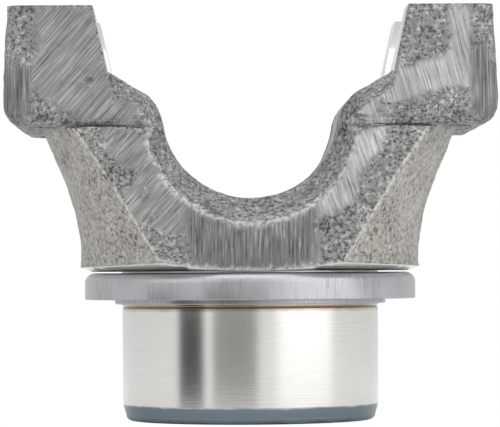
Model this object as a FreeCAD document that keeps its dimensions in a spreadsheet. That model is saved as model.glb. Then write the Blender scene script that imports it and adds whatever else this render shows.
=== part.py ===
"""Forged end yoke of a drive shaft, with its pressed-on dust slinger, as a parametric FreeCAD document.

The yoke stands on the end of its hub. Z is the axis of the hub, with the ears at the top. X runs from ear to
ear, along the axis of the bearing saddles, and Y runs through the open throat. All sizes are in millimetres.
"""
import FreeCAD, Part
import math
import os

import Sketcher

SIZES = {
    # Hub: the ground seal journal, its blued lead-in and the seat of the slinger
    "journal_diameter": 82.55,
    "lead_height": 5.3,
    "lead_drop": 0.95,
    "lead_round": 2.0,
    "seat_start": 37.0,
    "seat_step": 0.12,
    "relief_height": 0.8,
    "relief_depth": 0.35,
    # Underside of the base, faced on the lathe
    "underside_height": 48.0,
    "faced_diameter": 102.0,
    "faced_cone_angle": 20.0,
    # Base and arms: half width of the front flat, and reach of the rounded side, at four levels. The waist
    # is so far above the underside, and the arm's section so far below the ears.
    "base_radius": 56.0,
    "base_flat": 22.5,
    "waist_rise": 17.0,
    "waist_flat": 37.0,
    "waist_front": 49.8,
    "arm_drop": 14.1,
    "arm_flat": 46.0,
    "arm_front": 47.8,
    "arm_reach": 60.6,
    "ear_underside": 93.1,
    "ear_root_flat": 56.0,
    "ear_root_reach": 66.5,
    "crest_round": 3.0,
    # Ears
    "ear_top": 130.5,
    "ear_depth": 90.0,
    "ear_width": 154.2,
    "ear_widest_height": 104.0,
    "ear_top_width": 151.0,
    "ear_heel_round": 6.5,
    "ear_corner_round": 4.5,
    # Throat between the arms, and the flare that opens it to the front and the back
    "throat_radius": 28.0,
    "throat_height": 98.8,
    "shoulder_radius": 12.5,
    "shoulder_height": 93.5,
    "shoulder_angle": 30.0,
    "inner_face_top": 49.0,
    "inner_face_lean": 12.5,
    "flare_start": 37.0,
    "flare_length": 19.0,
    "flare_angle": 31.5,
    # Bearing saddles and the strap-bolt holes beside them
    "saddle_diameter": 47.6,
    "tang_to_tang": 145.0,
    "bolt_spacing_across": 129.6,
    "bolt_spacing_along": 68.0,
    "bolt_drill": 8.7,
    # Splined bore, pilot recess in the end of the hub, and nut well
    "spline_count": 39,
    "spline_minor_diameter": 53.6,
    "tooth_height": 1.7,
    "spline_root_share": 0.36,
    "spline_mouth_share": 0.62,
    "pilot_step": 0.8,
    "pilot_depth": 6.0,
    "bore_chamfer": 1.0,
    "nut_seat_height": 58.0,
    "nut_well_diameter": 66.0,
    # Dust slinger
    "slinger_diameter": 106.8,
    "slinger_sheet": 2.3,
    "slinger_gap": 0.5,
    "slinger_depth": 8.5,
    "slinger_round": 3.2,
    "sleeve_depth": 10.0,
    "press_clearance": 0.02,
}

# Sizes that several pieces share, as expressions over the sheet
JOURNAL = "(size.journal_diameter / 2)"
SEAT = "(size.journal_diameter / 2 + size.seat_step)"
EAR_HALF_DEPTH = "(size.ear_depth / 2)"
SLINGER_TOP = "(size.underside_height - size.slinger_gap)"
CLEAR = 5.0  # how far a cut runs past the metal that it cuts


def make_sheet(document):
    """Put every driving size in a sheet, one plain number and one alias to a row."""
    sheet = document.addObject("Spreadsheet::Sheet", "size")
    for row, (alias, value) in enumerate(SIZES.items(), start=1):
        sheet.set(f"A{row}", alias)
        sheet.set(f"B{row}", str(value))
        sheet.setAlias(f"B{row}", alias)
    document.recompute()
    return sheet


def make_body(document, label):
    body = document.addObject("PartDesign::Body", label)
    body.Label = label
    return body


def origin_part(body, role):
    """The body's own origin plane or axis with that role, such as XY_Plane or Z_Axis."""
    return next(item for item in body.Origin.OriginFeatures if item.Role == role)


def make_sketch(body, name, plane, offset=None):
    """A sketch on one of the body's origin planes, moved off it by an expression."""
    sketch = body.newObject("Sketcher::SketchObject", name)
    sketch.AttachmentSupport = (origin_part(body, plane), [""])
    sketch.MapMode = "FlatFace"
    if offset is not None:
        sketch.setExpression("AttachmentOffset.Base.z", offset)
    return sketch


def evaluate(sketch, expression):
    return float(sketch.evalExpression(expression))


def bind(sketch, constraint, expression):
    """Add a dimension to the sketch and tie it to an expression over the sheet."""
    index = sketch.addConstraint(constraint)
    sketch.setExpression(f"Constraints[{index}]", expression)


def place_point(sketch, geometry, position, across, up):
    """Tie a point's two distances from the sketch's origin to expressions."""
    for kind, expression in (("DistanceX", across), ("DistanceY", up)):
        value = evaluate(sketch, expression)
        bind(sketch, Sketcher.Constraint(kind, geometry, position, value), expression)


def arc_between(start, end, radius, turn):
    """The arc of that radius from start to end that turns left or right, drawn anticlockwise."""
    first, last = (start, end) if turn == "left" else (end, start)
    chord = last - first
    height = math.sqrt(max(radius**2 - (chord.Length / 2) ** 2, 0.0))
    normal = FreeCAD.Vector(-chord.y, chord.x, 0).normalize()
    centre = (first + last) * 0.5 + normal * height
    angles = [math.atan2(point.y - centre.y, point.x - centre.x) for point in (first, last)]
    return Part.ArcOfCircle(Part.Circle(centre, FreeCAD.Vector(0, 0, 1), radius), *angles)


def draw_outline(sketch, corners):
    """Draw a closed outline, every corner and radius tied to the sheet.

    A corner is (across, up), where a straight side starts, or (across, up, radius, turn), where an arc
    starts that turns left or right.
    """
    points = [FreeCAD.Vector(evaluate(sketch, c[0]), evaluate(sketch, c[1]), 0) for c in corners]
    ends = []
    for index, corner in enumerate(corners):
        start, end = points[index], points[(index + 1) % len(points)]
        if len(corner) == 2:
            sketch.addGeometry(Part.LineSegment(start, end))
            ends.append((1, 2))
        else:
            radius, turn = corner[2:]
            arc = arc_between(start, end, evaluate(sketch, radius), turn)
            sketch.addGeometry(arc)
            ends.append((1, 2) if turn == "left" else (2, 1))
    for index in range(len(corners)):
        following = (index + 1) % len(corners)
        joint = (index, ends[index][1], following, ends[following][0])
        sketch.addConstraint(Sketcher.Constraint("Coincident", *joint))
    for index, corner in enumerate(corners):
        place_point(sketch, index, ends[index][0], corner[0], corner[1])
        if len(corner) == 4:
            radius = evaluate(sketch, corner[2])
            bind(sketch, Sketcher.Constraint("Radius", index, radius), corner[2])


def draw_circle(sketch, across, up, diameter):
    centre = FreeCAD.Vector(evaluate(sketch, across), evaluate(sketch, up), 0)
    radius = evaluate(sketch, diameter) / 2
    index = sketch.addGeometry(Part.Circle(centre, FreeCAD.Vector(0, 0, 1), radius))
    place_point(sketch, index, 3, across, up)
    bind(sketch, Sketcher.Constraint("Diameter", index, 2 * radius), diameter)


def mirrored(right_side):
    """A whole outline from its right side, listed bottom to top: the left side follows, top to bottom.

    An arc belongs to the corner where it starts, so on the left side it moves to its other end.
    """
    left_side = []
    for index in range(len(right_side) - 1, -1, -1):
        across, up = right_side[index][:2]
        arc = right_side[index - 1][2:] if index > 0 else ()
        left_side.append((f"-({across})", up) + arc)
    return right_side + left_side


def revolve(body, kind, name, corners):
    """Turn an outline about Z, adding a Revolution or cutting a Groove."""
    sketch = make_sketch(body, f"{name}_outline", "XZ_Plane")
    draw_outline(sketch, corners)
    feature = body.newObject(f"PartDesign::{kind}", name)
    feature.Profile = sketch
    feature.ReferenceAxis = (origin_part(body, "Z_Axis"), [""])
    feature.Angle = 360
    return feature


def extrude(body, kind, name, sketch, length, symmetric=True, reverse=False):
    """Add a Pad or cut a Pocket of a length given by an expression."""
    feature = body.newObject(f"PartDesign::{kind}", name)
    feature.Profile = sketch
    feature.Type = "Length"
    feature.SideType = "Symmetric" if symmetric else "One side"
    feature.Reversed = reverse
    feature.setExpression("Length", length)
    return feature


def loft(body, kind, name, sketches):
    feature = body.newObject(f"PartDesign::{kind}", name)
    feature.Profile = sketches[0]
    feature.Sections = [(sketch, [""]) for sketch in sketches[1:]]
    return feature


def fillet_edges(body, name, wanted, radius):
    """Round the edges of the body, as it stands, whose middle point the test accepts."""
    body.Document.recompute()
    base = body.Tip
    names = [
        f"Edge{number}"
        for number, edge in enumerate(base.Shape.Edges, start=1)
        if wanted(edge, edge.valueAt((edge.FirstParameter + edge.LastParameter) / 2))
    ]
    feature = body.newObject("PartDesign::Fillet", name)
    feature.Base = (base, names)
    feature.setExpression("Radius", radius)
    return feature


def add_hub(body):
    """The turned hub: rounded and tapered lead-in, ground journal, grinding relief and slinger seat."""
    lead = f"({JOURNAL} - size.lead_drop)"
    relief = f"({JOURNAL} - size.relief_depth)"
    revolve(body, "Revolution", "hub", [
        ("0", "0"),
        (f"{lead} - size.lead_round", "0", "size.lead_round", "left"),
        (lead, "size.lead_round"),
        (JOURNAL, "size.lead_height"),
        (JOURNAL, "size.seat_start - size.relief_height"),
        (relief, "size.seat_start - size.relief_height / 2"),
        (JOURNAL, "size.seat_start"),
        (SEAT, "size.seat_start + size.seat_step"),
        (SEAT, f"size.underside_height + {CLEAR}"),
        ("0", f"size.underside_height + {CLEAR}"),
    ])


def add_base_and_arms(body):
    """The forged bulk, lofted through sections with a flat front and back and rounded sides."""
    levels = (
        ("foot", f"size.underside_height - {CLEAR}", "size.base_flat", None, "size.base_radius"),
        ("waist", "size.underside_height + size.waist_rise", "size.waist_flat", "size.waist_front", "size.base_radius"),
        ("arm", "size.ear_underside - size.arm_drop", "size.arm_flat", "size.arm_front", "size.arm_reach"),
        ("ear_root", "size.ear_underside", "size.ear_root_flat", EAR_HALF_DEPTH, "size.ear_root_reach"),
    )
    sketches = []
    for name, height, flat, front, reach in levels:
        front = front or f"sqrt({reach} ^ 2 - {flat} ^ 2)"
        bulge = f"(({reach} - {flat}) ^ 2 + ({front}) ^ 2) / (2 * ({reach} - {flat}))"
        sketch = make_sketch(body, f"{name}_section", "XY_Plane", height)
        draw_outline(sketch, [
            (f"-{flat}", f"-{front}"),
            (flat, f"-{front}", bulge, "left"),
            (flat, front),
            (f"-{flat}", front, bulge, "left"),
        ])
        sketches.append(sketch)
    loft(body, "AdditiveLoft", "base_and_arms", sketches)


def add_ears(body):
    """Both ears as one block across the arms, which the throat then parts."""
    widest = "(size.ear_width / 2)"
    heel = "size.ear_heel_round"
    right_side = [
        (f"{widest} - {heel}", "size.ear_underside", heel, "left"),
        (widest, f"size.ear_underside + {heel}"),
        (widest, "size.ear_widest_height"),
        ("size.ear_top_width / 2", "size.ear_top"),
    ]
    sketch = make_sketch(body, "ear_outline", "XZ_Plane")
    draw_outline(sketch, mirrored(right_side))
    extrude(body, "Pad", "ears", sketch, "size.ear_depth")


def face_underside(body):
    """The lathe cut under the base: flat round the slinger, then a shallow cone to the forged side."""
    reach = f"(size.base_radius + {CLEAR})"
    rise = f"({reach} - size.faced_diameter / 2) * tan(size.faced_cone_angle)"
    revolve(body, "Groove", "underside_cut", [
        (SEAT, "size.underside_height"),
        (SEAT, f"size.underside_height - {2 * CLEAR}"),
        (reach, f"size.underside_height - {2 * CLEAR}"),
        (reach, f"size.underside_height + {rise}"),
        ("size.faced_diameter / 2", "size.underside_height"),
    ])


def throat_outline(offset):
    """The throat's outline, opened out by an offset: a round bottom, two round shoulders and the ears."""
    apart = "(size.throat_radius + size.shoulder_radius)"
    drop = "(size.shoulder_height - size.throat_height)"
    centre = f"sqrt({apart} ^ 2 - {drop} ^ 2)"
    bottom_radius = f"(size.throat_radius + {offset})"
    shoulder = f"(size.shoulder_radius - {offset})"
    slope = "tan(size.shoulder_angle)"
    lean = "tan(size.inner_face_lean)"
    arc_end = f"({centre} - {shoulder} * sin(size.shoulder_angle))"
    arc_top = f"(size.shoulder_height + {shoulder} * cos(size.shoulder_angle))"
    below_top = f"(size.ear_top - {arc_top} + {slope} * {arc_end})"
    face = f"((size.inner_face_top - {lean} * {below_top}) / (1 - {slope} * {lean}))"
    face_foot = f"({arc_top} + ({face} - {arc_end}) * {slope})"
    right_side = [
        ("0", f"size.throat_height - {bottom_radius}", bottom_radius, "left"),
        (f"{bottom_radius} * {centre} / {apart}",
         f"size.throat_height + {bottom_radius} * {drop} / {apart}", shoulder, "right"),
        (arc_end, arc_top),
        (face, face_foot),
        ("size.inner_face_top", "size.ear_top"),
        ("size.inner_face_top", f"size.ear_top + {CLEAR}"),
    ]
    return mirrored(right_side)[:-1]


def cut_throat(body):
    """The throat, straight through in Y, and its flare to the front, mirrored to the back."""
    straight = make_sketch(body, "throat_section", "XZ_Plane")
    draw_outline(straight, throat_outline("0"))
    extrude(body, "Pocket", "throat", straight, f"2 * size.base_radius + {2 * CLEAR}")

    narrow = make_sketch(body, "flare_start_section", "XZ_Plane", "size.flare_start")
    draw_outline(narrow, throat_outline("0"))
    wide = make_sketch(body, "flare_end_section", "XZ_Plane", "size.flare_start + size.flare_length")
    draw_outline(wide, throat_outline("(size.flare_length * tan(size.flare_angle))"))
    flare = loft(body, "SubtractiveLoft", "front_flare", [narrow, wide])
    mirror = body.newObject("PartDesign::Mirrored", "back_flare")
    mirror.Originals = [flare]
    mirror.MirrorPlane = (origin_part(body, "XZ_Plane"), [""])
    body.Tip = mirror


def cut_saddles(body):
    """Half-round seats for the bearing cups, stopped at each end by a tang on the ear."""
    sketch = make_sketch(body, "saddle_section", "YZ_Plane")
    draw_circle(sketch, "0", "size.ear_top", "size.saddle_diameter")
    extrude(body, "Pocket", "saddles", sketch, "size.tang_to_tang")


def cut_bolt_holes(body):
    """Four tapped holes, right through the ears, for the bolts of the bearing straps."""
    sketch = make_sketch(body, "bolt_hole_centres", "XY_Plane", "size.ear_top")
    for side_x in ("-", ""):
        for side_y in ("-", ""):
            across = f"{side_x}size.bolt_spacing_across / 2"
            along = f"{side_y}size.bolt_spacing_along / 2"
            draw_circle(sketch, across, along, "size.bolt_drill")
    depth = f"size.ear_top - size.ear_underside + {CLEAR}"
    extrude(body, "Pocket", "bolt_holes", sketch, depth, symmetric=False)


def cut_bore(body):
    """The bore before splining: pilot recess, chamfers, minor diameter and nut seat.

    The nut well goes on up between the arms, wide enough for the socket that turns the nut.
    """
    bore = "(size.spline_minor_diameter / 2)"
    root = "(size.spline_minor_diameter / 2 + size.tooth_height)"
    pilot = f"({root} + size.pilot_step)"
    well = "(size.nut_well_diameter / 2)"
    chamfer = "size.bore_chamfer"
    revolve(body, "Groove", "bore", [
        ("0", f"-{CLEAR}"),
        (f"{pilot} + {chamfer} + {CLEAR}", f"-{CLEAR}"),
        (pilot, chamfer),
        (pilot, "size.pilot_depth"),
        (root, "size.pilot_depth"),
        (bore, f"size.pilot_depth + {root} - {bore}"),
        (bore, f"size.nut_seat_height - ({root} - {bore})"),
        (root, "size.nut_seat_height"),
        (well, "size.nut_seat_height"),
        (well, f"size.ear_top + {CLEAR}"),
        ("0", f"size.ear_top + {CLEAR}"),
    ])


def cut_splines(body):
    """One space between two teeth, its flanks straight, repeated round the bore."""
    pitch = "(360 / size.spline_count)"
    bore = "(size.spline_minor_diameter / 2)"
    root = "(size.spline_minor_diameter / 2 + size.tooth_height)"
    mouth_half = f"({bore} * tan({pitch} / 2) * size.spline_mouth_share)"
    root_half = f"({root} * tan({pitch} / 2) * size.spline_root_share)"
    inside = f"({bore} * 0.97)"
    sketch = make_sketch(body, "tooth_space", "XY_Plane", "size.pilot_depth / 2")
    draw_outline(sketch, [
        (f"-{mouth_half}", inside),
        (mouth_half, inside),
        (mouth_half, f"{bore} * cos({pitch} / 2)"),
        (root_half, root),
        (f"-{root_half}", root),
        (f"-{mouth_half}", f"{bore} * cos({pitch} / 2)"),
    ])
    space = extrude(body, "Pocket", "spline_space", sketch, "size.nut_seat_height",
                    symmetric=False, reverse=True)
    pattern = body.newObject("PartDesign::PolarPattern", "splines")
    pattern.Originals = [space]
    pattern.Axis = (origin_part(body, "Z_Axis"), [""])
    pattern.Angle = 360
    pattern.setExpression("Occurrences", "size.spline_count")
    body.Tip = pattern


def make_forged_yoke(document):
    """The forging with all that is machined in it: one piece of steel."""
    body = make_body(document, "forged_yoke")
    half_depth = SIZES["ear_depth"] / 2
    heel = SIZES["ear_heel_round"]

    add_ears(body)
    fillet_edges(body, "ear_corner_rounds",
                 lambda edge, middle: (abs(abs(middle.y) - half_depth) < 0.1
                                       and abs(middle.x) > SIZES["ear_top_width"] / 2 - heel
                                       and edge.BoundBox.ZLength > 1.0), "size.ear_corner_round")
    add_base_and_arms(body)
    fillet_edges(body, "crest_rounds",
                 lambda edge, middle: (middle.z < SIZES["ear_underside"] - 1.0
                                       and edge.BoundBox.ZLength > half_depth / 2), "size.crest_round")
    add_hub(body)
    face_underside(body)
    cut_throat(body)
    cut_saddles(body)
    cut_bolt_holes(body)
    cut_bore(body)
    cut_splines(body)
    return body


def make_dust_slinger(document):
    """A stamped ring of inverted channel section: press sleeve, flat web, rounded corner and rim."""
    body = make_body(document, "dust_slinger")
    sleeve = f"({SEAT} + size.press_clearance)"
    outer = "(size.slinger_diameter / 2)"
    sheet = "size.slinger_sheet"
    bend = "size.slinger_round"
    rim_foot = f"({SLINGER_TOP} - size.slinger_depth)"
    sleeve_foot = f"({SLINGER_TOP} - size.sleeve_depth)"
    revolve(body, "Revolution", "channel_ring", [
        (sleeve, sleeve_foot),
        (f"{sleeve} + {sheet}", sleeve_foot),
        (f"{sleeve} + {sheet}", f"{SLINGER_TOP} - {sheet}"),
        (f"{outer} - {bend}", f"{SLINGER_TOP} - {sheet}", f"({bend} - {sheet})", "right"),
        (f"{outer} - {sheet}", f"{SLINGER_TOP} - {bend}"),
        (f"{outer} - {sheet}", rim_foot),
        (outer, rim_foot),
        (outer, f"{SLINGER_TOP} - {bend}", bend, "left"),
        (f"{outer} - {bend}", SLINGER_TOP),
        (sleeve, SLINGER_TOP),
    ])
    return body


def check(document, sub_parts):
    """Stop if any object failed, or if a sub-part is not one valid solid."""
    for item in document.Objects:
        failed = {"Invalid", "Error"} & set(item.State)
        if failed:
            raise RuntimeError(f"{item.Name}: {item.State} {item.getStatusString()}")
    for body in sub_parts:
        if body.Shape.isNull() or not body.Shape.isValid():
            raise RuntimeError(f"{body.Label} has no valid shape")
        if len(body.Shape.Solids) != 1:
            raise RuntimeError(f"{body.Label} has {len(body.Shape.Solids)} solids")


def main():
    document = FreeCAD.newDocument("end_yoke")
    make_sheet(document)
    sub_parts = [make_forged_yoke(document), make_dust_slinger(document)]
    document.recompute()
    check(document, sub_parts)
    os.makedirs("parts", exist_ok=True)
    for body in sub_parts:
        body.Shape.exportStep(os.path.join("parts", f"{body.Label}.step"))
        box = body.Shape.BoundBox
        print(f"{body.Label}: {body.Shape.Volume / 1000:.1f} cm3, "
              f"{box.XLength:.1f} x {box.YLength:.1f} x {box.ZLength:.1f} mm")


main()
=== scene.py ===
"""Looks of a forged end yoke with its pressed-on dust slinger, standing on its hub on a pale floor.

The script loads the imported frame, dresses both pieces with real surface relief and procedural steel
finishes, and sets up the floor, the cards, the soft lights and the camera.
"""

from collections.abc import Iterator
from dataclasses import dataclass
from enum import Enum
import logging
import math

import bmesh
import bpy
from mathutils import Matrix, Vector, noise


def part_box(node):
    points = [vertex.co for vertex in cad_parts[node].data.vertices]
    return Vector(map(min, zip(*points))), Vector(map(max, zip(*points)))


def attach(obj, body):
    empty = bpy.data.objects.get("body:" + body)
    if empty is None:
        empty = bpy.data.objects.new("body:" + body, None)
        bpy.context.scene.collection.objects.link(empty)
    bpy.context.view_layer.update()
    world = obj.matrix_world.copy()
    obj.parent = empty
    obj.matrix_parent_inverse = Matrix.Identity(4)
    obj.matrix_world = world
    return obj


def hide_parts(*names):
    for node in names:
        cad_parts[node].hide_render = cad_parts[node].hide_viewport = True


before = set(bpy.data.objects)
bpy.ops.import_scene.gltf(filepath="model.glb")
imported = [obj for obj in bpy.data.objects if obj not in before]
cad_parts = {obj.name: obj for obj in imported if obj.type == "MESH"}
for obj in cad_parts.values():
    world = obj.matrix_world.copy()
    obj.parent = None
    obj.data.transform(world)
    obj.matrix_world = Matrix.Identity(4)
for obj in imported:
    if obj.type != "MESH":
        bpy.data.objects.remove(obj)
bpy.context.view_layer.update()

MM = 0.001
LOG = logging.getLogger("yoke_scene")

# Heights and radii that tell one machined or forged zone from the next, in the frame's metres
UNDERSIDE = 48.0 * MM
FACED_RADIUS = 57.0 * MM
SEAT_START = 37.0 * MM
JOURNAL_RADIUS = 41.275 * MM
NUT_WELL_RADIUS = 33.0 * MM
NUT_WELL_FLOOR = 60.0 * MM
EAR_UNDERSIDE = 93.1 * MM
EAR_TOP = 130.5 * MM
EAR_INNER_FACE = 50.0 * MM
EAR_INNER_FOOT = 104.0 * MM
THROAT_HEIGHT = 98.8 * MM
THROAT_RADIUS = 28.0 * MM
FLARE_START = 37.0 * MM
FLARE_SLOPE = math.tan(math.radians(31.5))
EAR_HALF_DEPTH = 45.0 * MM
EAR_ROUND = 4.5 * MM
TANG_INNER = 72.5 * MM
SADDLE_RADIUS = 23.8 * MM
LEAD_HEIGHT = 5.3 * MM

# Where the arms' fronts run up into the ears, and how far out along X the fill fades away
ROOT_REACH = 58.0 * MM
ROOT_DEPTH = 41.0 * MM
ROOT_HEIGHT = 3.0 * MM
ROOT_FILL = (59.0 * MM, 54.0 * MM)

# Limits between which a mask fades, in millimetres: where it is nothing, then where it is whole
CENTRE_REACH = (22.0, 19.5)
CENTRE_TOP = (68.0, 66.0)
STRIP_REACH = (67.5, 69.0)
STRIP_TOP = (114.0, 110.0)
EAR_FACE_FOOT = (94.0, 96.0)
EAR_FACE_REACH = (38.0, 41.0)
LEFT_EAR_REACH = (69.0, 66.5)
LEFT_EAR_FOOT = (-1.2, 1.2)
LEFT_EAR_BARE = (-0.42, -0.30)
RIGHT_EAR_REACH = (61.0, 62.5)
RIGHT_EAR_OUTER = (69.0, 67.5)
RIGHT_EAR_FOOT = (110.0, 113.0)
RIGHT_BAND_LOW = (-6.0, -4.5)
RIGHT_BAND_HIGH = (6.0, 4.5)
CORNER_REACH = (70.0, 72.0)
ARM_TOP = (94.0, 92.0)
SIDE_REACH = (20.0, 26.0)
RIDGE_WIDTH = (1.1, 0.3)
RIDGE_TOP = (101.0, 98.0)
UPRIGHT_REACH = (24.0, 17.0)

# The same for how far a normal's Y share turns to the front
FRONTAL = (0.86, 0.95)
CORNER_TURN = (0.1, 0.3)
CREST_START = (0.76, 0.82)
CREST_END = (0.94, 0.88)
RIDGE_TURN = (0.6, 0.75)

# Layers of noise: how many waves go into a metre, and how high the layer is, in millimetres for relief
BLOTS = ((110, 0.6), (300, 0.4))
LUMPS = ((150, 0.3), (420, 0.2))
GROOVES = ((620, 0.07), (300, 0.04))
PIT_WAVES = 520
PIT_SHIFT = Vector((7, 3, 1))
PIT_LIMITS = (0.25, 0.55)
PIT_DEPTH = 0.22
SUNK = 0.12
LEFT_SLANT = 0.9
RIGHT_SLANT = -0.28


class Mask(Enum):
    """The forging's zone masks, each by the name of its attribute on the mesh."""

    TRIMMED = "trimmed"
    SIDE = "side"
    UPRIGHT = "upright"
    LEAN = "lean"
    # painted highlight along the crests and the throat's ridge
    EDGE = "edge"
    MACHINED = "machined"


@dataclass(frozen=True)
class SteelFinish:
    """A bare steel finish.

    Attributes:
        dark: sRGB hex of the darkest patches.
        mid: sRGB hex of the ordinary surface.
        light: sRGB hex of the rubbed or scraped patches.
        roughness: Microfacet roughness, typical of that finish.
        metallic: 1 for bare metal, less where scale covers it.
    """

    dark: str
    mid: str
    light: str
    roughness: float
    metallic: float


# Mill scale after shot blasting is matt and mottled, and warmer on the drafted sides. The flash line is
# torn bare, and its tone is painted light and shade: lighter on the right, darker on the left, darkest
# in the middle.
# Ground steel mirrors its surroundings, and stamped sheet is bright but a little rougher.
SCALE = SteelFinish("#3a3a39", "#878786", "#bdbdbb", 0.62, 0.35)
SHEARED = SteelFinish("#70706f", "#a7a7a6", "#cfcfce", 0.48, 0.6)
SHEARED_LEFT_SHADED = SteelFinish("#585857", "#898988", "#b3b3b2", 0.48, 0.6)
SHEARED_UPRIGHT_SHADED = SteelFinish("#464645", "#737372", "#a0a09f", 0.48, 0.6)
WARM_SCALE = SteelFinish("#565450", "#a4a19b", "#c6c3bd", 0.6, 0.35)
GROUND = SteelFinish("#c2c1be", "#d8d7d4", "#e5e4e2", 0.22, 1.0)
STAMPED = SteelFinish("#98989b", "#b4b4b8", "#d0d0d3", 0.32, 1.0)

# Painted highlight along the crests and the throat's ridge, the heat-blued lead with its purple foot,
# and the straw tint under the slinger's seat
GLINT_GREY = "#d2d2cf"
HEAT_BLUE = "#6f808c"
HEAT_PURPLE = "#66565d"
HEAT_STRAW = "#9a8468"

# Sizes of the patterns in millimetres. Real turning and shear lines are finer than shows at this
# distance, so both are drawn as coarse as they need to be seen.
BLOTCH = 9.0
GRAIN = 1.3
PIT = 0.8
SPECK = 1.0
SHEAR_LINE = 0.5
TURNED_LINE = 0.25
HEAT_WANDER = 7.0
DRAW_MARK = 0.5
CLOUD = 14.0
FORGED_BUMP = 0.35
STAMPED_BUMP = 0.02

# Settings of the nodes that are used most
SMOOTHSTEP = {"interpolation_type": "SMOOTHSTEP"}
ADD = {"operation": "ADD"}
SUBTRACT = {"operation": "SUBTRACT"}
MULTIPLY = {"operation": "MULTIPLY"}
RGBA = {"data_type": "RGBA"}
FLOAT = {"data_type": "FLOAT"}
RGBA_RESULT = 2

Socket = bpy.types.NodeSocket


def linear(hex_colour: str) -> tuple[float, float, float, float]:
    """Turn an sRGB hex colour into the linear RGBA that shaders take.

    Args:
        hex_colour: Colour such as "#8e8e8b".

    Returns:
        Linear red, green, blue and an alpha of 1.
    """
    channels = [int(hex_colour[i:i + 2], 16) / 255 for i in (1, 3, 5)]
    values = [c / 12.92 if c <= 0.04045 else ((c + 0.055) / 1.055) ** 2.4 for c in channels]
    return (values[0], values[1], values[2], 1.0)


class Shader:
    """A small builder round one material's node tree."""

    def __init__(self, name: str) -> None:
        """Make the material with an empty tree.

        Args:
            name: Name of the real material.
        """
        self.material = bpy.data.materials.new(name)
        self.material.use_nodes = True
        self.tree = self.material.node_tree
        self.tree.nodes.clear()

    def add(self, kind: str, settings: dict[str, str] | None = None, output: int | str = 0,
            **links: object) -> Socket | None:
        """Add a node, set its properties, and set or link its inputs.

        Args:
            kind: Node type without the ShaderNode prefix.
            settings: Properties of the node.
            output: Number or name of the output that is handed back.
            **links: Input name, with _ for a space, or i and a number, to a socket or a value.

        Returns:
            The output's socket, or nothing where the node has no outputs.
        """
        node = self.tree.nodes.new(f"ShaderNode{kind}")
        for key, value in (settings or {}).items():
            setattr(node, key, value)
        for key, value in links.items():
            numbered = key[0] == "i" and key[1:].isdigit()
            socket = node.inputs[int(key[1:]) if numbered else key.replace("_", " ")]
            if isinstance(value, Socket):
                self.tree.links.new(value, socket)
            else:
                socket.default_value = value
        return node.outputs[output] if len(node.outputs) else None

    def coordinates(self, scale: tuple[float, float, float] = (1.0, 1.0, 1.0),
                    turn: float = 0.0) -> Socket:
        """Object coordinates, scaled and turned about Y.

        Args:
            scale: Scale along each axis; a small number stretches the pattern along that axis.
            turn: Turn about Y in degrees, applied before the scale.

        Returns:
            The vector socket.
        """
        vector = self.add("TexCoord", None, "Object")
        if turn:
            vector = self.add("VectorRotate", {"rotation_type": "Y_AXIS"}, Vector=vector,
                              Angle=math.radians(turn))
        return self.add("VectorMath", MULTIPLY, i0=vector, i1=scale)

    def grains(self, size: float, scale: tuple[float, float, float] = (1.0, 1.0, 1.0),
               turn: float = 0.0, detail: float = 4.0) -> Socket:
        """Lay a grainy pattern of a real size over the piece.

        Args:
            size: Size of a grain in millimetres.
            scale: Stretch of the coordinates along each axis.
            turn: Turn about Y in degrees.
            detail: Octaves of detail.

        Returns:
            The pattern's factor socket.
        """
        return self.add("TexNoise", None, "Fac", Vector=self.coordinates(scale, turn),
                        Scale=1 / (size * MM), Detail=detail, Roughness=0.6)

    def finish(self, colour: Socket, roughness: Socket, metallic: Socket | float, height: Socket,
               depth: float) -> bpy.types.Material:
        """End the tree in a Principled shader with a bump.

        Args:
            colour: Colour socket.
            roughness: Roughness socket.
            metallic: Metallic socket or number.
            height: Height socket of the bump, 0 to 1.
            depth: Depth of the bump in millimetres.

        Returns:
            The finished material.
        """
        bump = self.add("Bump", None, Strength=1.0, Distance=depth * MM, Height=height)
        surface = self.add("BsdfPrincipled", None, Base_Color=colour, Roughness=roughness,
                           Metallic=metallic, Normal=bump)
        self.add("OutputMaterial", None, Surface=surface)
        return self.material


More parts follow.
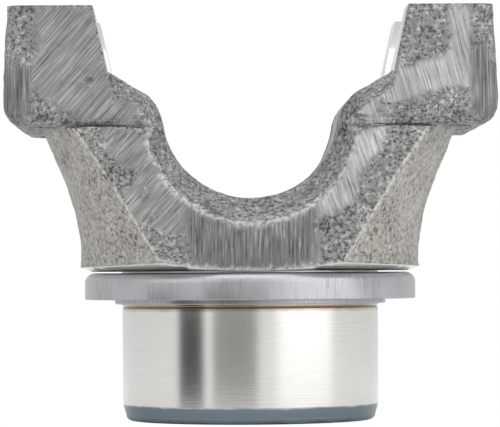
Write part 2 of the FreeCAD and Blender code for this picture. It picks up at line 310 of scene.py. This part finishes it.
class ForgingSteel(Shader):
    """Steel of the forging: scale, sheared flash line and machined faces, told apart by masks."""

    def __init__(self) -> None:
        """Make the material, the patterns that its zones share, and its masks."""
        super().__init__("forged_steel_with_machined_faces")
        self.blotch = self.grains(BLOTCH)
        self.grain = self.grains(GRAIN, detail=5.0)
        self.pits = self.add("MapRange", SMOOTHSTEP, Value=self.grains(PIT, detail=2.0),
                             From_Min=0.36, From_Max=0.44)
        self.turned = self.grains(TURNED_LINE, (0.02, 0.02, 1.0), detail=2.0)
        self.masks = {
            mask: self.add("Attribute", {"attribute_name": mask.value}, "Fac") for mask in Mask
        }
        self.on_right = self.add("MapRange", SMOOTHSTEP, Value=self.masks[Mask.LEAN],
                                 From_Min=0.45, From_Max=0.55)
        self.lines = self.shear_lines()

    def shear_lines(self) -> Socket:
        """Draw the lines that the trimming left: slanted on each arm and upright in the middle.

        Returns:
            The lines' socket.
        """
        left = self.grains(SHEAR_LINE, (1.0, 0.4, 0.03), -42.0)
        right = self.grains(SHEAR_LINE, (1.0, 0.4, 0.03), 16.0)
        middle = self.grains(SHEAR_LINE, (1.0, 0.6, 0.03))
        slanted = self.add("Mix", RGBA, RGBA_RESULT, i0=self.on_right, i6=left, i7=right)
        return self.add("Mix", RGBA, RGBA_RESULT, i0=self.masks[Mask.UPRIGHT], i6=slanted, i7=middle)

    def tones(self, finish: SteelFinish, pattern: Socket) -> Socket:
        """Spread a finish's dark, ordinary and light colours over a pattern.

        Args:
            finish: The finish.
            pattern: The pattern's socket.

        Returns:
            The colour's socket.
        """
        rise = self.add("MapRange", SMOOTHSTEP, Value=pattern, From_Min=0.34, From_Max=0.505)
        lower = self.add("Mix", RGBA, RGBA_RESULT, i0=rise, i6=linear(finish.dark),
                         i7=linear(finish.mid))
        crown = self.add("MapRange", SMOOTHSTEP, Value=pattern, From_Min=0.50, From_Max=0.66)
        return self.add("Mix", RGBA, RGBA_RESULT, i0=crown, i6=lower, i7=linear(finish.light))

    def scale_colour(self) -> Socket:
        """Colour the scale: pitted grey on front and back, warm and specked on the drafted sides.

        Returns:
            The colour's socket.
        """
        mottled = self.add("Math", ADD, i0=self.add("Math", MULTIPLY, i0=self.blotch, i1=0.3),
                           i1=self.add("Math", MULTIPLY, i0=self.grain, i1=0.7))
        pitted = self.add("MapRange", SMOOTHSTEP, Value=self.pits, To_Min=0.9, To_Max=0.0)
        grey = self.add("Mix", RGBA, RGBA_RESULT, i0=pitted, i6=self.tones(SCALE, mottled),
                        i7=linear(SCALE.dark))
        specks = self.add("MapRange", SMOOTHSTEP, Value=self.grains(SPECK, detail=2.0),
                          From_Min=0.30, From_Max=0.42)
        specked = self.add("MapRange", SMOOTHSTEP, Value=specks, To_Min=0.85, To_Max=0.0)
        warm = self.add("Mix", RGBA, RGBA_RESULT, i0=specked, i6=self.tones(WARM_SCALE, mottled),
                        i7=linear(WARM_SCALE.dark))
        return self.add("Mix", RGBA, RGBA_RESULT, i0=self.masks[Mask.SIDE], i6=grey, i7=warm)

    def sheared_colour(self) -> Socket:
        """Colour the sheared flash band, whose streaks follow its lines, with painted light and shade:
        lighter on the right arm, darker on the left and darkest in the middle.

        Returns:
            The colour's socket.
        """
        streaks = self.add("Math", ADD, i0=self.add("Math", MULTIPLY, i0=self.lines, i1=0.75),
                           i1=self.add("Math", MULTIPLY, i0=self.blotch, i1=0.25))
        # painted light and shade: lighter tones on the right arm, darker on the left, darkest in the
        # middle
        slanted = self.add("Mix", RGBA, RGBA_RESULT, i0=self.on_right,
                           i6=self.tones(SHEARED_LEFT_SHADED, streaks), i7=self.tones(SHEARED, streaks))
        return self.add("Mix", RGBA, RGBA_RESULT, i0=self.masks[Mask.UPRIGHT], i6=slanted,
                        i7=self.tones(SHEARED_UPRIGHT_SHADED, streaks))

    def forged_colour(self) -> Socket:
        """Colour all that was left as forged, with a painted highlight along its crests and the
        throat's ridge.

        Returns:
            The colour's socket.
        """
        colour = self.add("Mix", RGBA, RGBA_RESULT, i0=self.masks[Mask.TRIMMED],
                          i6=self.scale_colour(), i7=self.sheared_colour())
        patchy = self.add("MapRange", SMOOTHSTEP, Value=self.grain, From_Min=0.35, From_Max=0.6,
                          To_Min=0.25, To_Max=0.85)
        # painted highlight: the crests and the throat's ridge are lightened, broken up by the grain
        glint_share = self.add("Math", MULTIPLY, i0=self.masks[Mask.EDGE], i1=patchy)
        return self.add("Mix", RGBA, RGBA_RESULT, i0=glint_share, i6=colour, i7=linear(GLINT_GREY))

    def ground_colour(self) -> Socket:
        """Colour the ground and turned faces, with the heat tints at the hub's foot and its seat.

        Returns:
            The colour's socket.
        """
        rings = self.add("Math", ADD, i0=self.add("Math", MULTIPLY, i0=self.turned, i1=0.3), i1=0.36)
        height = self.add("SeparateXYZ", None, 2, Vector=self.coordinates())
        sway = self.add("Math", SUBTRACT, i0=self.grains(HEAT_WANDER), i1=0.5)
        level = self.add("Math", ADD, i0=height,
                         i1=self.add("Math", MULTIPLY, i0=sway, i1=1.6 * MM))

        foot = self.add("MapRange", SMOOTHSTEP, Value=level, From_Min=1.6 * MM, From_Max=0.2 * MM)
        patchy = self.add("MapRange", SMOOTHSTEP, Value=self.blotch, From_Min=0.4, From_Max=0.6)
        purple = self.add("Math", MULTIPLY, i0=foot, i1=patchy)
        heated = self.add("Mix", RGBA, RGBA_RESULT, i0=purple, i6=linear(HEAT_BLUE),
                          i7=linear(HEAT_PURPLE))
        blued = self.add("MapRange", SMOOTHSTEP, Value=level, From_Min=LEAD_HEIGHT + 0.3 * MM,
                         From_Max=LEAD_HEIGHT - 0.7 * MM)
        colour = self.add("Mix", RGBA, RGBA_RESULT,
                          i0=self.add("Math", MULTIPLY, i0=blued, i1=0.92),
                          i6=self.tones(GROUND, rings), i7=heated)

        below = self.add("MapRange", SMOOTHSTEP, Value=level, From_Min=SEAT_START - 2.2 * MM,
                         From_Max=SEAT_START - 0.6 * MM)
        above = self.add("MapRange", SMOOTHSTEP, Value=level, From_Min=SEAT_START + 1.2 * MM,
                         From_Max=SEAT_START + 0.2 * MM)
        straw = self.add("Math", MULTIPLY, i0=self.add("Math", MULTIPLY, i0=below, i1=above), i1=0.75)
        return self.add("Mix", RGBA, RGBA_RESULT, i0=straw, i6=colour, i7=linear(HEAT_STRAW))

    def roughness(self) -> Socket:
        """Spread the roughness over scale, sheared band and machined faces.

        Returns:
            The roughness socket.
        """
        scale = self.add("Math", ADD, i0=self.add("Math", MULTIPLY, i0=self.grain, i1=0.2),
                         i1=SCALE.roughness - 0.1)
        torn = self.add("Math", MULTIPLY, i0=self.masks[Mask.TRIMMED],
                        i1=SCALE.roughness - SHEARED.roughness)
        forged = self.add("Math", SUBTRACT, i0=scale, i1=torn)
        return self.add("Mix", FLOAT, i0=self.masks[Mask.MACHINED], i2=forged, i3=GROUND.roughness)

    def metal(self) -> Socket:
        """Spread how metallic the surface is: less under scale, wholly where it is machined.

        Returns:
            The metallic socket.
        """
        forged = self.add("MapRange", SMOOTHSTEP, Value=self.masks[Mask.TRIMMED],
                          To_Min=SCALE.metallic, To_Max=SHEARED.metallic)
        return self.add("Mix", FLOAT, i0=self.masks[Mask.MACHINED], i2=forged, i3=GROUND.metallic)

    def relief(self) -> Socket:
        """Height of the fine relief: pits in scale, lines in the sheared band, rings where turned.

        Returns:
            The height socket.
        """
        rugged = self.add("Math", ADD, i0=self.add("Math", MULTIPLY, i0=self.grain, i1=0.5),
                          i1=self.add("Math", MULTIPLY, i0=self.pits, i1=0.5))
        forged = self.add("Mix", FLOAT, i0=self.masks[Mask.TRIMMED], i2=rugged, i3=self.lines)
        rings = self.add("Math", MULTIPLY, i0=self.turned, i1=0.04)
        return self.add("Mix", FLOAT, i0=self.masks[Mask.MACHINED], i2=forged, i3=rings)

    def build(self) -> bpy.types.Material:
        """Join the zones into one material.

        Returns:
            The material.
        """
        colour = self.add("Mix", RGBA, RGBA_RESULT, i0=self.masks[Mask.MACHINED],
                          i6=self.forged_colour(), i7=self.ground_colour())
        return self.finish(colour, self.roughness(), self.metal(), self.relief(), FORGED_BUMP)


class StampedSteel(Shader):
    """Bright stamped steel sheet with fine draw marks down the rim."""

    def __init__(self) -> None:
        """Make the empty material."""
        super().__init__("stamped_sheet_steel")

    def build(self) -> bpy.types.Material:
        """Lay the draw marks over a slow cloud.

        Returns:
            The material.
        """
        draw_marks = self.grains(DRAW_MARK, (1.0, 1.0, 0.06), detail=3.0)
        cloud = self.grains(CLOUD, detail=2.0)
        pattern = self.add("Math", ADD, i0=self.add("Math", MULTIPLY, i0=draw_marks, i1=0.6),
                           i1=self.add("Math", MULTIPLY, i0=cloud, i1=0.4))
        rise = self.add("MapRange", SMOOTHSTEP, Value=pattern, From_Min=0.3, From_Max=0.55)
        colour = self.add("Mix", RGBA, RGBA_RESULT, i0=rise, i6=linear(STAMPED.dark),
                          i7=linear(STAMPED.mid))
        crown = self.add("MapRange", SMOOTHSTEP, Value=pattern, From_Min=0.58, From_Max=0.8)
        colour = self.add("Mix", RGBA, RGBA_RESULT, i0=crown, i6=colour, i7=linear(STAMPED.light))
        rough = self.add("MapRange", SMOOTHSTEP, Value=cloud, From_Min=0.3, From_Max=0.7,
                         To_Min=STAMPED.roughness - 0.05, To_Max=STAMPED.roughness + 0.1)
        return self.finish(colour, rough, STAMPED.metallic, draw_marks, STAMPED_BUMP)


def floor_material() -> bpy.types.Material:
    """White studio sweep: plain to the camera, softly lit to everything else.

    Returns:
        The material.
    """
    shader = Shader("white_studio_floor")
    lit = shader.add("BsdfDiffuse", None, Color=linear("#f4f4f4"))
    seen = shader.add("Emission", None, Color=linear("#ffffff"), Strength=1.0)
    from_camera = shader.add("LightPath", None, "Is Camera Ray")
    surface = shader.add("MixShader", None, i0=from_camera, i1=lit, i2=seen)
    shader.add("OutputMaterial", None, Surface=surface)
    return shader.material


def smooth(value: float, start: float, end: float) -> float:
    """Smoothstep of a value between two limits, in either order.

    Args:
        value: The value.
        start: Where the result is 0.
        end: Where the result is 1.

    Returns:
        A number from 0 to 1.
    """
    share = min(max((value - start) / (end - start), 0.0), 1.0)
    return share * share * (3 - 2 * share)


def layered(point: Vector, layers: tuple[tuple[int, float], ...]) -> float:
    """Add up layers of noise at a point.

    Args:
        point: The point.
        layers: Waves in a metre and height of each layer.

    Returns:
        The sum, about 0.
    """
    return sum(noise.noise(point * waves) * height for waves, height in layers)


def is_machined(centre: Vector, normal: Vector) -> bool:
    """Whether a face of the forging was turned, ground, milled or drilled.

    Args:
        centre: The face's centre.
        normal: The face's normal.

    Returns:
        True for a machined face.
    """
    radius = math.hypot(centre.x, centre.y)
    on_hub = centre.z < UNDERSIDE + 0.1 * MM
    near_underside = centre.z < UNDERSIDE + 5 * MM and radius < FACED_RADIUS + 2 * MM
    if on_hub or (near_underside and normal.z < -0.8):
        return True
    upright_wall = abs(normal.z) < 0.05
    if radius < NUT_WELL_RADIUS + 0.3 * MM and (centre.z < NUT_WELL_FLOOR or upright_wall):
        faces_the_axis = centre.xy.dot(normal.xy) < -0.9 * radius
        return abs(normal.z) > 0.9 or faces_the_axis
    if normal.z > 0.97 and centre.z > EAR_TOP - 0.2 * MM:
        return True
    between_ears = abs(centre.x) < EAR_INNER_FACE and centre.z > EAR_INNER_FOOT
    if between_ears and abs(normal.x) > 0.95 and centre.x * normal.x < 0:
        return True
    off_saddle = abs(math.hypot(centre.y, centre.z - EAR_TOP) - SADDLE_RADIUS)
    saddle = off_saddle < 0.3 * MM and abs(normal.x) < 0.1
    tang = abs(abs(centre.x) - TANG_INNER) < 0.1 * MM and abs(normal.x) > 0.99
    return saddle or tang


@dataclass(frozen=True)
class FlashSide:
    """One side's sheared band round the throat, in millimetres.

    Attributes:
        width: Distance from the throat's centre to the band's outer edge.
        ragged: How far noise moves that edge.
    """

    width: float
    ragged: float


FLASH_LEFT = FlashSide(47.0, 16.0)
FLASH_RIGHT = FlashSide(41.0, 4.0)


def flash_band(x: float, z: float, blot: float) -> float:
    """How far a point of the front or back lies in the sheared flash band.

    Args:
        x: Distance along X in millimetres, with the left side negative.
        z: Height in millimetres.
        blot: Noise about 0 that makes the band's edge ragged.

    Returns:
        A number from 0 to 1.
    """
    reach = abs(x)
    side = FLASH_LEFT if x < 0 else FLASH_RIGHT
    from_throat = math.hypot(x, z - THROAT_HEIGHT / MM)
    arm = smooth(from_throat + blot * side.ragged, side.width + 1.0, side.width - 1.0)
    centre = smooth(reach + blot * 6.0, *CENTRE_REACH) * smooth(z, *CENTRE_TOP)
    strip = smooth(reach, *STRIP_REACH) * smooth(z, *STRIP_TOP)
    if x < 0:
        # The left ear is sheared above a line that rises towards the throat, apart from bare patches
        foot = 105.5 - (68.0 - reach) * 0.69
        ear = smooth(z + blot * 5.0 - foot, *LEFT_EAR_FOOT)
        ear *= smooth(reach + blot * 5.0, *LEFT_EAR_REACH) * smooth(blot, *LEFT_EAR_BARE)
    else:
        # The right ear has a band that climbs outwards, and then runs up the ear's outer side
        above = z - 104.6 - (reach - 40.0) * 0.24 + blot * 3.0
        climbing = smooth(above, *RIGHT_BAND_LOW) * smooth(above, *RIGHT_BAND_HIGH)
        outer = smooth(reach, *RIGHT_EAR_REACH) * smooth(reach, *RIGHT_EAR_OUTER)
        ear = max(climbing, outer * smooth(z, *RIGHT_EAR_FOOT))
    on_ear = smooth(z, *EAR_FACE_FOOT) * smooth(reach, *EAR_FACE_REACH)
    return max(arm * (1 - on_ear), centre, max(ear, strip) * on_ear)


def zone_masks(point: Vector, normal: Vector) -> dict[Mask, float]:
    """The masks of an as-forged point: sheared band, drafted side, painted crest highlight and its
    lines' way.

    Args:
        point: The point.
        normal: Its normal.

    Returns:
        Mask to a number from 0 to 1.
    """
    turn = abs(normal.y)
    reach, height = abs(point.x) / MM, point.z / MM
    outward = 1.0 if point.x * normal.x > 0 else 0.0
    below_ears = smooth(height, *ARM_TOP)

    frontal = smooth(turn, *FRONTAL)
    flash = frontal * flash_band(point.x / MM, height, layered(point, BLOTS))
    corner = smooth(reach, *CORNER_REACH) * smooth(height, *STRIP_TOP) * smooth(turn, *CORNER_TURN)
    side = (1 - frontal) * outward * below_ears * smooth(reach, *SIDE_REACH)

    # painted highlight along the arms' crests and along the throat's ridge
    crest = smooth(turn, *CREST_START) * smooth(turn, *CREST_END) * outward * below_ears
    flared = THROAT_RADIUS / MM + (abs(point.y) / MM - FLARE_START / MM) * FLARE_SLOPE
    off_ridge = abs(math.hypot(point.x, point.z - THROAT_HEIGHT) / MM - flared - 0.3)
    ridge = smooth(off_ridge, *RIDGE_WIDTH) * smooth(turn, *RIDGE_TURN) * smooth(height, *RIDGE_TOP)
    return {
        Mask.TRIMMED: max(flash, corner),
        Mask.SIDE: side,
        Mask.UPRIGHT: max(smooth(reach, *UPRIGHT_REACH), smooth(reach, *STRIP_REACH)),
        Mask.LEAN: 1.0 if point.x > 0 else 0.0,
        Mask.EDGE: max(crest, 0.8 * ridge),
    }


def shade_smooth(piece: bpy.types.Object) -> None:
    """Shade a piece smooth, apart from its corners.

    Args:
        piece: The piece.
    """
    bpy.ops.object.select_all(action="DESELECT")
    piece.select_set(True)
    bpy.context.view_layer.objects.active = piece
    bpy.ops.object.shade_smooth_by_angle(angle=math.radians(32))


@dataclass
class ForgedYoke:
    """The forging: a finely divided copy of its CAD node with forged relief and zone masks.

    Attributes:
        node: Name of the CAD node.
        longest_edge: Longest edge of an as-forged face after division, in metres.
        turned_corner: Angle in radians past which the edge between two machined faces is sharp.
        division_passes: How often the long edges are halved at most.
        smoothing_passes: How often the filled ear roots are smoothed.
        merge: Distance under which the CAD mesh's points are one, in metres.
    """

    node: str = "forged_yoke"
    longest_edge: float = 2.6 * MM
    turned_corner: float = math.radians(7)
    division_passes: int = 7
    smoothing_passes: int = 12
    merge: float = 0.002 * MM

    def divided_copy(self) -> bpy.types.Object:
        """Copy the node's mesh, merge it, fill its ear roots and divide its as-forged faces.

        Returns:
            The copy.
        """
        mesh = bmesh.new()
        mesh.from_mesh(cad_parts[self.node].data)
        bmesh.ops.remove_doubles(mesh, verts=mesh.verts, dist=self.merge)
        bmesh.ops.dissolve_degenerate(mesh, edges=mesh.edges, dist=self.merge)
        self.fill_ear_roots(mesh)
        self.divide(mesh)
        self.smooth_ear_roots(mesh)
        bmesh.ops.recalc_face_normals(mesh, faces=mesh.faces)
        self.sharpen_turned_corners(mesh)
        data = bpy.data.meshes.new(f"{self.node}_surface")
        for layer in list(mesh.loops.layers.uv.values()):
            mesh.loops.layers.uv.remove(layer)
        mesh.to_mesh(data)
        mesh.free()
        piece = bpy.data.objects.new(data.name, data)
        bpy.context.scene.collection.objects.link(piece)
        return piece

    def fill_ear_roots(self, mesh: bmesh.types.BMesh) -> None:
        """Carry the arms' flat fronts up into the ears, over the round along the ears' lower edge.

        Args:
            mesh: The merged mesh of the node.
        """
        centre_z = EAR_UNDERSIDE + EAR_ROUND
        centre_y = EAR_HALF_DEPTH - EAR_ROUND
        for vert in mesh.verts:
            x, y, z = vert.co
            off_round = math.hypot(z - centre_z, abs(y) - centre_y) - EAR_ROUND
            if abs(off_round) < 0.15 * MM and z < centre_z and abs(y) > centre_y - 0.1 * MM:
                share = smooth(abs(x), *ROOT_FILL)
                vert.co.y = math.copysign(abs(y) + (EAR_HALF_DEPTH - abs(y)) * share, y)
        bmesh.ops.remove_doubles(mesh, verts=mesh.verts, dist=0.03 * MM)
        bmesh.ops.dissolve_degenerate(mesh, edges=mesh.edges, dist=0.01 * MM)

    def divide(self, mesh: bmesh.types.BMesh) -> None:
        """Halve the long edges of as-forged faces until none is left.

        Args:
            mesh: The mesh.
        """
        for _ in range(self.division_passes):
            long_edges = [
                edge for edge in mesh.edges
                if edge.calc_length() > self.longest_edge and not self.between_machined(edge)
            ]
            if not long_edges:
                break
            bmesh.ops.subdivide_edges(mesh, edges=long_edges, cuts=1, use_grid_fill=False)
            bmesh.ops.triangulate(mesh, faces=[f for f in mesh.faces if len(f.verts) > 3])

    def smooth_ear_roots(self, mesh: bmesh.types.BMesh) -> None:
        """Smooth the filled strip where the arms run into the ears.

        Args:
            mesh: The divided mesh.
        """
        roots = [
            v for v in mesh.verts
            if abs(v.co.x) < ROOT_REACH and abs(v.co.y) > ROOT_DEPTH
            and abs(v.co.z - EAR_UNDERSIDE) < ROOT_HEIGHT
        ]
        for _ in range(self.smoothing_passes):
            bmesh.ops.smooth_vert(mesh, verts=roots, factor=0.5, use_axis_x=True,
                                  use_axis_y=True, use_axis_z=True)
        bmesh.ops.remove_doubles(mesh, verts=roots, dist=0.05 * MM)

    def sharpen_turned_corners(self, mesh: bmesh.types.BMesh) -> None:
        """Keep turned walls straight in their shading, up to their very ends.

        Args:
            mesh: The divided mesh.
        """
        for edge in mesh.edges:
            if edge.calc_face_angle(0.0) > self.turned_corner and self.between_machined(edge):
                edge.smooth = False

    def between_machined(self, edge: bmesh.types.BMEdge) -> bool:
        """Whether all of an edge's faces are machined.

        Args:
            edge: The edge.

        Returns:
            True where they are.
        """
        return all(is_machined(f.calc_center_median(), f.normal) for f in edge.link_faces)

    def mark_and_relieve(self, piece: bpy.types.Object) -> None:
        """Write the zone masks to the mesh and push the as-forged points in and out.

        Args:
            piece: The divided copy.
        """
        mesh = piece.data
        machined_faces = [p for p in mesh.polygons if is_machined(p.center, p.normal)]
        machined_points = {index for polygon in machined_faces for index in polygon.vertices}
        for mask in Mask:
            domain = "CORNER" if mask is Mask.MACHINED else "POINT"
            mesh.attributes.new(mask.value, "FLOAT", domain)
        corners = [0.0] * len(mesh.loops)
        for polygon in machined_faces:
            for loop in polygon.loop_indices:
                corners[loop] = 1.0
        mesh.attributes[Mask.MACHINED.value].data.foreach_set("value", corners)
        masks = [zone_masks(v.co, v.normal) for v in mesh.vertices]
        for mask in masks[0]:
            mesh.attributes[mask.value].data.foreach_set("value", [m[mask] for m in masks])
        low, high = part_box(self.node)
        places = []
        for vertex in mesh.vertices:
            place = vertex.co.copy()
            if vertex.index not in machined_points:
                place += vertex.normal * self.relief(vertex.co, masks[vertex.index])
            places.extend(min(max(value, least), most)
                          for value, least, most in zip(place, low, high))
        mesh.vertices.foreach_set("co", places)
        mesh.update()

    def relief(self, point: Vector, masks: dict[Mask, float]) -> float:
        """How far an as-forged point stands in or out of the nominal surface.

        Args:
            point: The point.
            masks: Its zone masks.

        Returns:
            The offset in metres, never more than about half a millimetre.
        """
        trimmed = masks[Mask.TRIMMED]
        pits = -PIT_DEPTH * smooth(noise.noise(point * PIT_WAVES + PIT_SHIFT), *PIT_LIMITS)
        slant = LEFT_SLANT if masks[Mask.LEAN] < 0.5 else RIGHT_SLANT
        if masks[Mask.UPRIGHT] > 0.5:
            slant = 0.0
        across = Vector((point.x - point.z * slant, point.y * 0.3, point.z * 0.05))
        rough = (layered(point, LUMPS) + pits) * (1 - 0.75 * trimmed)
        return (rough + layered(across, GROOVES) * trimmed - SUNK) * MM

    def build(self) -> bpy.types.Object:
        """Make the dressed forging.

        Returns:
            The finished piece.
        """
        piece = self.divided_copy()
        self.mark_and_relieve(piece)
        piece.data.materials.append(ForgingSteel().build())
        shade_smooth(piece)
        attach(piece, "root")
        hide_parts(self.node)
        LOG.info("forging: %d faces", len(piece.data.polygons))
        return piece


@dataclass
class DustSlinger:
    """The stamped ring: its CAD node drawn afresh with finely divided bends.

    Attributes:
        node: Name of the CAD node.
        segments: Steps round the ring.
        sheet: Thickness of the sheet.
        round: Outer radius of the bend into the rim.
        sleeve_bend: Radius of the bend into the sleeve.
        rim_depth: Height of the turned-down rim.
        edge_break: Width of the broken edges.
        seat_radius: Radius of the sleeve's bore.
    """

    node: str = "dust_slinger"
    segments: int = 256
    sheet: float = 2.3 * MM
    round: float = 3.2 * MM
    sleeve_bend: float = 0.9 * MM
    rim_depth: float = 8.5 * MM
    edge_break: float = 0.25 * MM
    seat_radius: float = JOURNAL_RADIUS + 0.14 * MM

    @staticmethod
    def bend(centre: tuple[float, float], radius: float, start: int, end: int,
             steps: int) -> Iterator[tuple[float, float]]:
        """Walk round a bend of the section.

        Args:
            centre: Radius and height of the bend's centre.
            radius: Radius of the bend.
            start: First angle in degrees.
            end: Last angle in degrees.
            steps: Number of steps.

        Yields:
            Radius and height of each point.
        """
        for step in range(steps + 1):
            angle = math.radians(start + (end - start) * step / steps)
            yield centre[0] + radius * math.cos(angle), centre[1] + radius * math.sin(angle)

    def profile(self) -> list[tuple[float, float]]:
        """The channel section's closed outline, as radius and height.

        Returns:
            The outline's points, one way round.
        """
        low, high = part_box(self.node)
        outer, top, foot = high[0], high[2], low[2]
        rim_foot = top - self.rim_depth
        rim_inner = outer - self.sheet
        sleeve = self.seat_radius + self.sheet
        broken = self.edge_break
        inner_bend = (sleeve + self.sleeve_bend, top - self.sheet - self.sleeve_bend)
        rim_bend = (outer - self.round, top - self.round)
        points = [(self.seat_radius, foot + broken), (self.seat_radius + broken, foot)]
        points += [(sleeve - broken, foot), (sleeve, foot + broken)]
        points += self.bend(inner_bend, self.sleeve_bend, 180, 90, 6)
        points += self.bend(rim_bend, self.round - self.sheet, 90, 0, 8)
        points += [(rim_inner, rim_foot + broken), (rim_inner + broken, rim_foot)]
        points += [(outer - broken, rim_foot), (outer, rim_foot + broken)]
        points += self.bend(rim_bend, self.round, 0, 90, 14)
        points += [(self.seat_radius + broken, top), (self.seat_radius, top - broken)]
        return points

    def build(self) -> bpy.types.Object:
        """Draw a ring of edges along the section, from its bore round to its bore again.

        Returns:
            The finished piece.
        """
        section = self.profile()
        radius, height = section[0]
        bpy.ops.object.select_all(action="DESELECT")
        bpy.ops.mesh.primitive_circle_add(vertices=self.segments, radius=radius,
                                          location=(0, 0, height))
        piece = bpy.context.object
        piece.name = piece.data.name = f"{self.node}_surface"
        bpy.ops.object.transform_apply(location=True, rotation=False, scale=False)
        bpy.ops.object.mode_set(mode="EDIT")
        bpy.ops.mesh.select_all(action="SELECT")
        for next_radius, next_height in section[1:] + section[:1]:
            growth = next_radius / radius
            bpy.ops.mesh.extrude_edges_move(
                TRANSFORM_OT_translate={"value": (0.0, 0.0, next_height - height)})
            bpy.ops.transform.resize(value=(growth, growth, 1.0), center_override=(0.0, 0.0, 0.0))
            radius, height = next_radius, next_height
        bpy.ops.mesh.select_all(action="SELECT")
        bpy.ops.mesh.remove_doubles(threshold=0.01 * MM)
        bpy.ops.mesh.normals_make_consistent(inside=False)
        bpy.ops.object.mode_set(mode="OBJECT")
        piece.data.materials.append(StampedSteel().build())
        shade_smooth(piece)
        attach(piece, "root")
        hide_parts(self.node)
        LOG.info("slinger: %d faces", len(piece.data.polygons))
        return piece


@dataclass(frozen=True)
class AreaLight:
    """A soft box.

    Attributes:
        name: Name of the light.
        place: Its centre in metres.
        size: Width and height in metres.
        power: Power in watts.
    """

    name: str
    place: tuple[float, float, float]
    size: tuple[float, float]
    power: float


LIGHTS = (
    AreaLight("top_soft_box", (0.0, -0.15, 0.95), (0.9, 0.9), 2.8),
    AreaLight("left_soft_box", (-0.75, -0.65, 0.40), (0.8, 1.1), 1.5),
    AreaLight("right_soft_box", (0.55, -0.48, 0.33), (0.8, 0.9), 2.1),
)
LIT_POINT = Vector((0.0, 0.0, 0.07))
ROOM_STRENGTH = 0.85


@dataclass(frozen=True)
class Card:
    """A card beside the hub that is only seen mirrored in the steel.

    Attributes:
        name: Name of the card.
        paper: sRGB hex of its paper.
        bearing: Degrees from the front, with the left side negative.
        distance: Distance from the hub's axis in metres.
        width: Width in metres.
    """

    name: str
    paper: str
    bearing: float
    distance: float
    width: float


CARDS = (
    Card("dark_card", "#161616", -47.0, 0.13, 0.050),
    Card("grey_card", "#a2a2a0", -13.0, 0.15, 0.095),
)
CARD_HEIGHT = 45.0 * MM


def add_floor() -> bpy.types.Object:
    """Lay the pale floor.

    Returns:
        The floor.
    """
    bpy.ops.mesh.primitive_plane_add(size=8.0, location=(0, 0, 0))
    floor = bpy.context.object
    floor.name = "studio_floor"
    floor.data.materials.append(floor_material())
    return floor


def add_card(card: Card) -> bpy.types.Object:
    """Stand a card whose reflection draws a darker band down the ground journal.

    Args:
        card: The card.

    Returns:
        Its object.
    """
    bearing = math.radians(card.bearing)
    place = (card.distance * math.sin(bearing), -card.distance * math.cos(bearing), CARD_HEIGHT / 2)
    bpy.ops.mesh.primitive_plane_add(size=1.0, location=place)
    stand = bpy.context.object
    stand.name = card.name
    stand.scale = (card.width, CARD_HEIGHT, 1.0)
    stand.rotation_euler = (math.radians(90), 0.0, bearing)
    shader = Shader(f"{card.name}_paper")
    paper = shader.add("BsdfDiffuse", None, Color=linear(card.paper))
    shader.add("OutputMaterial", None, Surface=paper)
    stand.data.materials.append(shader.material)
    stand.visible_camera = False
    stand.visible_diffuse = False
    stand.visible_shadow = False
    return stand


def add_soft_box(light: AreaLight) -> bpy.types.Object:
    """Hang a soft box, turned to the part.

    Args:
        light: The light.

    Returns:
        Its object.
    """
    data = bpy.data.lights.new(light.name, "AREA")
    data.shape = "RECTANGLE"
    data.size, data.size_y = light.size
    data.energy = light.power
    lamp = bpy.data.objects.new(light.name, data)
    lamp.location = light.place
    lamp.rotation_euler = (LIT_POINT - lamp.location).to_track_quat("-Z", "Y").to_euler()
    bpy.context.scene.collection.objects.link(lamp)
    return lamp


def add_room() -> bpy.types.World:
    """Surround the part with a white room: plain to the camera, a little dimmer as light.

    Returns:
        The world.
    """
    world = bpy.data.worlds.new("white_studio")
    world.use_nodes = True
    tree = world.node_tree
    tree.nodes.clear()
    path = tree.nodes.new("ShaderNodeLightPath")
    room = tree.nodes.new("ShaderNodeBackground")
    room.inputs["Strength"].default_value = ROOM_STRENGTH
    backdrop = tree.nodes.new("ShaderNodeBackground")
    mix = tree.nodes.new("ShaderNodeMixShader")
    output = tree.nodes.new("ShaderNodeOutputWorld")
    tree.links.new(path.outputs["Is Camera Ray"], mix.inputs[0])
    tree.links.new(room.outputs[0], mix.inputs[1])
    tree.links.new(backdrop.outputs[0], mix.inputs[2])
    tree.links.new(mix.outputs[0], output.inputs[0])
    for background in (room, backdrop):
        background.inputs["Color"].default_value = linear("#ffffff")
    bpy.context.scene.world = world
    return world


def add_camera() -> bpy.types.Object:
    """Set the camera in front of the throat, at the height of the base and slightly to one side.

    Returns:
        The camera.
    """
    distance = 1.020
    eye_height = 0.0467
    yaw = math.radians(-0.8)
    roll = math.radians(0.35)
    data = bpy.data.cameras.new("camera")
    data.sensor_width = 36.0
    data.lens = 226.8
    data.shift_y = 0.123
    camera = bpy.data.objects.new("camera", data)
    camera.location = (distance * math.sin(yaw), -distance * math.cos(yaw), eye_height)
    camera.rotation_euler = (math.radians(90), roll, yaw)
    bpy.context.scene.collection.objects.link(camera)
    bpy.context.scene.camera = camera
    return camera


def main() -> None:
    """Dress the frame, light it and set up the camera."""
    logging.basicConfig(level=logging.INFO)
    ForgedYoke().build()
    DustSlinger().build()
    add_floor()
    for card in CARDS:
        add_card(card)
    for light in LIGHTS:
        add_soft_box(light)
    add_room()
    add_camera()
    bpy.context.scene.view_settings.view_transform = "Standard"


if __name__ == "__main__":
    main()
